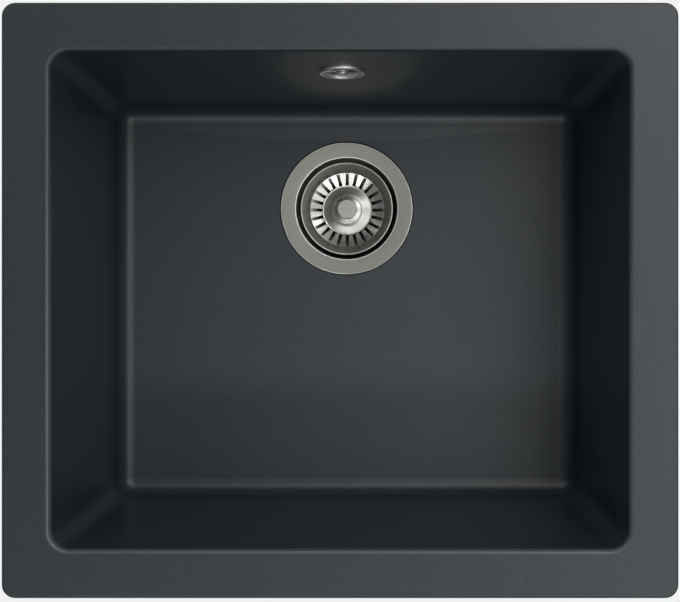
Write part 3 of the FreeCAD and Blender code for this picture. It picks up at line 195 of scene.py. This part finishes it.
def composite_finish():
    """Quartz composite: satin inside and on the rim, glossier with wear along the front and
    sides of the mouth, where a pale painted highlight is added, raw and matt on the hidden
    outside."""
    finish = Finish("quartz_composite")
    x, y, z = finish.split(finish.place)
    across = finish.maths("ABSOLUTE", x) - WALL_LEAN * z
    along = finish.maths("ABSOLUTE", y) - WALL_LEAN * z
    beyond = finish.maths("MAXIMUM", across - WALL_CORE_ACROSS, along - WALL_CORE_ALONG)
    outside = finish.maths("MAXIMUM", beyond, FLOOR_CORE - z)
    under_rim = finish.maths("LESS_THAN", z, RIM_CORE)
    hidden = finish.maths("GREATER_THAN", outside, 0) * under_rim
    grain = finish.cell_colours(finish.place, 1500)
    red, green, blue = finish.split(grain)
    fine = finish.noise(finish.place, 900, 3, 0.6)
    cloud = finish.noise(finish.place, 9, 3, 0.55)
    dark = finish.mix(fine, colour(38, 48, 54), colour(47, 57, 64))
    clouded = finish.mix(cloud * 0.35, dark, colour(43, 51, 56))
    light_grain = finish.maths("GREATER_THAN", red, 0.975)
    pale = finish.mix(light_grain * 0.3, clouded, colour(104, 110, 112))
    warm_grain = finish.maths("GREATER_THAN", green, 0.985)
    warm = finish.mix(warm_grain * 0.25, pale, colour(104, 84, 66))
    black_grain = finish.maths("GREATER_THAN", blue, 0.95)
    body = finish.mix(black_grain * 0.35, warm, colour(34, 37, 40))
    dusty = finish.mix(0.5 + 0.5 * fine, body, colour(84, 87, 88))
    body = finish.mix(hidden * 0.7, body, dusty)
    dimples = finish.noise(finish.place, 650, 4, 0.65)
    coarse = finish.noise(finish.place, 260, 4, 0.7)
    smooth = finish.bump(dimples, 0.000015, 0.5)
    raw = finish.bump(coarse * hidden, 0.0006, 0.8, after=smooth)
    # Band along the rounded mouth edge, strongest at the front and sides: less rough with wear,
    # and tinted paler as a painted highlight.
    above_foot = finish.maths("GREATER_THAN", z, MOUTH_EDGE_FOOT)
    edge = above_foot * finish.maths("LESS_THAN", z, MOUTH_EDGE_TOP)
    mouth = finish.maths("LESS_THAN", beyond, MOUTH_EDGE_REACH)
    towards_front = finish.maths("MINIMUM", finish.maths("MAXIMUM", 0.95 - 5.2 * y, 0), 1)
    wear_and_highlight = edge * mouth * towards_front
    # Paler colour on the mouth edge: painted highlight.
    body = finish.mix(wear_and_highlight * (0.45 + 0.4 * fine), body, colour(88, 95, 100))
    roughness = 0.36 + 0.06 * fine + 0.04 * cloud + 0.35 * hidden - 0.1 * wear_and_highlight
    return finish.shader(body, roughness, 0.0, raw, IOR=1.6)


def brushed_finish(name, tint, roughness, streak):
    """Steel with brush marks in rings about the waste's axis."""
    finish = Finish(name)
    radius, angle, z = finish.about_axis(WASTE_AXIS)
    around = finish.joined(radius * 1600, angle * 2.2, z * 1600)
    lines = finish.noise(around, 1, 3, 0.7)
    broad = finish.noise(finish.joined(radius * 180, angle * 1.3, z * 180), 1, 2, 0.5)
    shade = finish.mix(broad, [level * 0.94 for level in tint[:3]] + [1], tint)
    normal = finish.bump(lines, 0.00002, streak)
    return finish.shader(shade, roughness + 0.04 * broad + 0.06 * lines, 1.0, normal)


def flange_finish():
    """Brushed flat flange with a polished outer edge and inner lip, tinted pale as a painted
    highlight.
    """
    finish = Finish("brushed_flange")
    radius, angle, z = finish.about_axis(WASTE_AXIS)
    lines = finish.noise(finish.joined(radius * 1600, angle * 2.2, z * 1600), 1, 3, 0.7)
    broad = finish.noise(finish.joined(radius * 180, angle * 1.3, z * 180), 1, 2, 0.5)
    outer = finish.maths("GREATER_THAN", radius, FLANGE_EDGE_RADIUS)
    above_foot = finish.maths("GREATER_THAN", z, LIP_FOOT)
    lip = finish.maths("LESS_THAN", radius, LIP_REACH) * above_foot
    # Polished outer edge and lip, which also carry the painted highlight.
    polish_and_highlight = finish.maths("MAXIMUM", outer, lip)
    dim_steel = finish.mix(broad, colour(150, 150, 143), colour(160, 160, 152))
    # Pale tint on the outer edge and lip: painted highlight.
    shade = finish.mix(polish_and_highlight, dim_steel, colour(238, 238, 234))
    normal = finish.bump(lines * (1 - polish_and_highlight), 0.00002, 0.4)
    roughness = 0.24 + 0.04 * broad + 0.05 * lines + 0.1 * polish_and_highlight
    return finish.shader(shade, roughness, 1.0, normal)


def basket_finish():
    """Pressed steel, rougher up the funnel, tinted with painted light and shade: pale on the
    slotted wall, mottled up the funnel, darker on the floor.
    """
    finish = Finish("pressed_basket")
    radius, angle, z = finish.about_axis(WASTE_AXIS)
    lines = finish.noise(finish.joined(radius * 1200, angle * 3, z * 1200), 1, 3, 0.7)
    broad = finish.noise(finish.joined(radius * 700, angle * 9, z * 260), 1, 3, 0.6)
    funnel = finish.maths("GREATER_THAN", radius, FUNNEL_FOOT_RADIUS)
    floor = finish.maths("LESS_THAN", radius, FLOOR_EDGE_RADIUS)
    # Painted light and shade on one pressed steel: a pale tint on the slotted wall, a mottled
    # tint up the funnel and a darker tint on the floor, each set to how it is lit.
    polish_and_highlight = finish.mix(broad, colour(224, 223, 219), colour(236, 235, 231))
    funnel_mottle = finish.mix(broad, colour(176, 176, 172), colour(228, 228, 223))
    # Darker floor tint: painted shade.
    dim_steel = finish.mix(broad, colour(168, 168, 162), colour(180, 180, 174))
    shade = finish.mix(floor, finish.mix(funnel, polish_and_highlight, funnel_mottle), dim_steel)
    normal = finish.bump(lines, 0.00001, 0.3)
    roughness = 0.22 + 0.04 * broad + 0.16 * funnel + 0.04 * floor
    return finish.shader(shade, roughness, 1.0, normal)


def polished_finish(name, tint, roughness):
    """Smooth metal with fine scratches and faint smudges."""
    finish = Finish(name)
    smudge = finish.noise(finish.place, 60, 3, 0.6)
    scratch = finish.noise(finish.place, 1400, 2, 0.6)
    normal = finish.bump(scratch, 0.000006, 0.5)
    return finish.shader(tint, roughness + 0.06 * smudge, 1.0, normal)


def plated_finish(name, tint, roughness):
    """Zinc-plated or plain turned metal, with faint turning marks and stains."""
    finish = Finish(name)
    stain = finish.noise(finish.place, 220, 4, 0.6)
    marks = finish.noise(finish.place, 2400, 2, 0.5)
    shade = finish.mix(stain, [level * 0.78 for level in tint[:3]] + [1], tint)
    normal = finish.bump(marks, 0.00002, 0.5)
    return finish.shader(shade, roughness + 0.12 * stain, 1.0, normal)


def moulded_finish(name, tint, roughness):
    """Moulded plastic with a faint spark-eroded grain."""
    finish = Finish(name)
    grain = finish.noise(finish.place, 1300, 3, 0.6)
    patch = finish.noise(finish.place, 35, 2, 0.5)
    shade = finish.mix(patch, [level * 0.94 for level in tint[:3]] + [1], tint)
    normal = finish.bump(grain, 0.00003, 0.6)
    return finish.shader(shade, roughness + 0.08 * patch, 0.0, normal)


def rubber_finish(name, tint):
    """Dusty black rubber."""
    finish = Finish(name)
    dust = finish.noise(finish.place, 120, 4, 0.65)
    grain = finish.noise(finish.place, 1800, 2, 0.5)
    shade = finish.mix(dust * 0.5, tint, colour(58, 58, 57))
    normal = finish.bump(grain, 0.00003, 0.6)
    return finish.shader(shade, 0.62 + 0.16 * dust, 0.0, normal)


def give(material, *names):
    for name in names:
        mesh = nodes[name].data
        mesh.materials.clear()
        mesh.materials.append(material)


give(composite_finish(), "sink_bowl")
give(flange_finish(), "strainer_well")
give(basket_finish(), "basket_cup")
give(brushed_finish("pressed_steel", colour(206, 205, 201), 0.22, 0.3), "stopper_washer")
give(polished_finish("satin_steel", colour(184, 184, 179), 0.24), "basket_knob")
give(polished_finish("polished_steel", colour(222, 221, 217), 0.2), "basket_stem",
     "clamp_screw")
give(polished_finish("chrome", colour(244, 244, 242), 0.4), "overflow_rosette",
     "overflow_screw")
give(plated_finish("brass", colour(205, 170, 105), 0.3), "waste_body_insert",
     "overflow_head_insert", "clip_inserts")
give(plated_finish("zinc_plate", colour(188, 190, 192), 0.32), "clip_screws",
     *(f"clip_claw_{number}" for number in range(1, 7)))
give(rubber_finish("gasket_rubber", colour(26, 26, 27)), "flange_gasket", "floor_gasket",
     "stopper_seal", "overflow_seal", "upper_compression_seal", "lower_compression_seal")
give(moulded_finish("white_polypropylene", colour(222, 221, 216), 0.36), "waste_body",
     "overflow_head", "overflow_tube")
give(moulded_finish("nut_polypropylene", colour(214, 213, 209), 0.3), "upper_compression_nut",
     "lower_compression_nut")
give(moulded_finish("nylon", colour(226, 221, 206), 0.34), "cup_bush", "stem_spacer",
     "stem_clip", "clip_retainers")


# Thread round the waste's outlet

THREAD_PITCH = 2.309 * MM
THREAD_ROOT = 22.6 * MM
THREAD_SECTION = 1.067 * MM
THREAD_TURNS = 9
OUTLET_FOOT = -291 * MM


def make_active(piece):
    bpy.ops.object.select_all(action="DESELECT")
    piece.select_set(True)
    bpy.context.view_layer.objects.active = piece


def apply_modifier(piece, name, kind, **settings):
    make_active(piece)
    modifier = piece.modifiers.new(name, kind)
    for key, value in settings.items():
        setattr(modifier, key, value)
    bpy.ops.object.modifier_apply(modifier=name)


def merged_copy(node_name, name):
    """A copy of a CAD piece with its loose triangles joined."""
    node = nodes[node_name]
    piece = node.copy()
    piece.data = node.data.copy()
    piece.name = name
    bpy.context.collection.objects.link(piece)
    make_active(piece)
    bpy.ops.object.mode_set(mode="EDIT")
    bpy.ops.mesh.select_all(action="SELECT")
    bpy.ops.mesh.remove_doubles(threshold=0.000001)
    bpy.ops.object.mode_set(mode="OBJECT")
    return piece


def smooth_between_edges(piece):
    """Smooth shading that stops at edges of 30 degrees or more and keeps flat faces flat."""
    make_active(piece)
    bpy.ops.object.mode_set(mode="EDIT")
    bpy.ops.mesh.select_all(action="DESELECT")
    bpy.ops.mesh.edges_select_sharp(sharpness=math.radians(30))
    bpy.ops.mesh.mark_sharp()
    bpy.ops.object.mode_set(mode="OBJECT")
    bpy.ops.object.shade_smooth()
    apply_modifier(piece, "even_shading", "WEIGHTED_NORMAL", keep_sharp=True)


def thread_cutter():
    """V section wound upwards round the waste's axis, past the outlet's foot."""
    bpy.ops.object.select_all(action="DESELECT")
    bpy.ops.mesh.primitive_circle_add(
        vertices=3, radius=THREAD_SECTION, rotation=(math.pi / 2, -math.pi / 2, 0),
        location=(THREAD_ROOT + THREAD_SECTION, 0, OUTLET_FOOT - THREAD_PITCH / 2))
    bpy.ops.object.transform_apply(location=True, rotation=True, scale=True)
    cutter = bpy.context.object
    apply_modifier(cutter, "winding", "SCREW", screw_offset=THREAD_PITCH,
                   iterations=THREAD_TURNS, steps=64, render_steps=64)
    bpy.ops.object.mode_set(mode="EDIT")
    bpy.ops.mesh.select_all(action="SELECT")
    bpy.ops.mesh.fill_holes(sides=3)
    bpy.ops.mesh.normals_make_consistent(inside=False)
    bpy.ops.transform.translate(value=(*WASTE_AXIS, 0))
    bpy.ops.object.mode_set(mode="OBJECT")
    return cutter


def threaded_waste_body():
    """The waste body with a thread cut round its outlet."""
    body = merged_copy("waste_body", "threaded_waste_body")
    cutter = thread_cutter()
    apply_modifier(body, "thread", "BOOLEAN", operation="DIFFERENCE", object=cutter,
                   solver="EXACT")
    bpy.data.objects.remove(cutter)
    smooth_between_edges(body)
    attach(body, "root")
    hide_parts("waste_body")
    return body


threaded_waste_body()


# Basket with a deeper funnel

FUNNEL_DRAW = 5 * MM


def deepened_basket():
    """The basket with its funnel drawn deeper, which leaves the slotted wall flatter."""
    basket = merged_copy("basket_cup", "deepened_basket_cup")
    for vertex in basket.data.vertices:
        radius = math.dist(vertex.co[:2], WASTE_AXIS)
        up_funnel = (FUNNEL_TOP_RADIUS - radius) / (FUNNEL_TOP_RADIUS - FUNNEL_FOOT_RADIUS)
        along_wall = (radius - FLOOR_EDGE_RADIUS) / (FUNNEL_FOOT_RADIUS - FLOOR_EDGE_RADIUS)
        vertex.co.z -= FUNNEL_DRAW * max(0, min(up_funnel, along_wall))
    smooth_between_edges(basket)
    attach(basket, "strainer_basket")
    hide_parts("basket_cup")
    return basket


deepened_basket()


# Strainer well with a tighter lip

LIP_SHARE = 0.4


def tight_lipped_well():
    """The strainer well with a tighter rounding between its flange and its wall."""
    well = merged_copy("strainer_well", "tight_lipped_strainer_well")
    for vertex in well.data.vertices:
        across = vertex.co.x - WASTE_AXIS[0]
        along = vertex.co.y - WASTE_AXIS[1]
        radius = math.hypot(across, along)
        from_centre = math.hypot(radius - WELL_RADIUS - LIP_ROUND, vertex.co.z - LIP_FOOT)
        on_lip = abs(from_centre - LIP_ROUND) < LIP_ROUND / 10
        if not on_lip or vertex.co.z < LIP_FOOT or radius > WELL_RADIUS + LIP_ROUND:
            continue
        scale = (WELL_RADIUS + (radius - WELL_RADIUS) * LIP_SHARE) / radius
        vertex.co.x = WASTE_AXIS[0] + across * scale
        vertex.co.y = WASTE_AXIS[1] + along * scale
        vertex.co.z = LIP_TOP - (LIP_TOP - vertex.co.z) * LIP_SHARE
    smooth_between_edges(well)
    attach(well, "root")
    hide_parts("strainer_well")
    return well


tight_lipped_well()


# Camera: straight above, level with a point right of the bowl's middle

CAMERA_HEIGHT = 1189 * MM
CAMERA_X = 33.9 * MM
CAMERA_Y = -4.1 * MM
VIEW_WIDTH = 680 * 0.7378 * MM
VIEW_CENTRE_Y = -0.44 * MM
RIM_TOP = 10 * MM
SENSOR = 36

camera_data = bpy.data.cameras.new("camera")
camera = bpy.data.objects.new("camera", camera_data)
bpy.context.collection.objects.link(camera)
camera.location = (CAMERA_X, CAMERA_Y, RIM_TOP + CAMERA_HEIGHT)
camera_data.sensor_width = SENSOR
camera_data.lens = SENSOR * CAMERA_HEIGHT / VIEW_WIDTH
camera_data.shift_x = -CAMERA_X / VIEW_WIDTH
camera_data.shift_y = (VIEW_CENTRE_Y - CAMERA_Y) / VIEW_WIDTH
camera_data.clip_end = 50
bpy.context.scene.camera = camera


# Floor, light and world

# Name, place and aim in metres, width and depth in metres, power in watts
LAMPS = (
    ("back_right", (1.05, 1.05, 1.9), (1.05, 1.05, 0), 1.3, 1.3, 16.5),
    ("right", (1.05, -0.35, 1.9), (1.05, -0.35, 0), 1.0, 1.0, 7.0),
    ("front", (0, -1.25, 1.9), (0, 0, -0.1), 2.2, 0.25, 9.6),
    ("middle", (0.1, -0.05, 1.9), (0.1, -0.05, 0), 0.45, 0.45, 1.0),
    ("overhead", (0, 0.2, 1.9), (0, 0.2, 0), 1.0, 1.0, 0.7),
    ("back", (0, 2.0, 1.7), (0, 0, 0), 0.8, 0.8, 5.6),
    ("back_left", (-1.4, 1.4, 1.7), (0, 0, 0), 0.8, 0.8, 4.8),
)
WORLD_STRENGTH = 0.13
FLOOR_SIZE = 40
FLOOR_GAP = 0.5 * MM
FLOOR_GLOW = 0.82


def stage_finish():
    """Pale floor that the camera and metal see as nearly white, with the object's shadow."""
    finish = Finish("pale_floor")
    path = finish.node("ShaderNodeLightPath")
    outputs = path.socket.node.outputs
    seen = finish.maths("MAXIMUM", Wire(finish, outputs["Is Camera Ray"]),
                        Wire(finish, outputs["Is Glossy Ray"]))
    seen = finish.maths("MAXIMUM", seen, Wire(finish, outputs["Is Transmission Ray"]))
    matt = finish.node("ShaderNodeBsdfDiffuse", Color=(0.8, 0.8, 0.8, 1))
    glow = finish.node("ShaderNodeEmission", Color=(1, 1, 1, 1), Strength=1.0)
    surface = finish.node("ShaderNodeMixShader", n0=seen * FLOOR_GLOW, n1=matt, n2=glow)
    finish.node("ShaderNodeOutputMaterial", Surface=surface)
    return finish.material


def make_floor():
    bpy.ops.object.select_all(action="DESELECT")
    bpy.ops.mesh.primitive_plane_add(size=FLOOR_SIZE,
                                     location=(0, 0, cad_box[0][2] - FLOOR_GAP))
    floor = bpy.context.object
    floor.name = "floor"
    floor.data.materials.append(stage_finish())


def soft_lamp(name, place, target, width, depth, power):
    """Area lamp at place, facing target."""
    data = bpy.data.lights.new(name, "AREA")
    data.shape = "RECTANGLE"
    data.size = width
    data.size_y = depth
    data.energy = power
    lamp = bpy.data.objects.new(name, data)
    bpy.context.collection.objects.link(lamp)
    lamp.location = place
    direction = Vector(target) - Vector(place)
    lamp.rotation_euler = direction.to_track_quat("-Z", "Y").to_euler()


def make_world():
    world = bpy.data.worlds.new("studio")
    world.use_nodes = True
    background = world.node_tree.nodes["Background"]
    background.inputs["Color"].default_value = (1, 1, 1, 1)
    background.inputs["Strength"].default_value = WORLD_STRENGTH
    bpy.context.scene.world = world


make_floor()
make_world()
for lamp in LAMPS:
    soft_lamp(*lamp)

bpy.context.scene.view_settings.view_transform = "Standard"
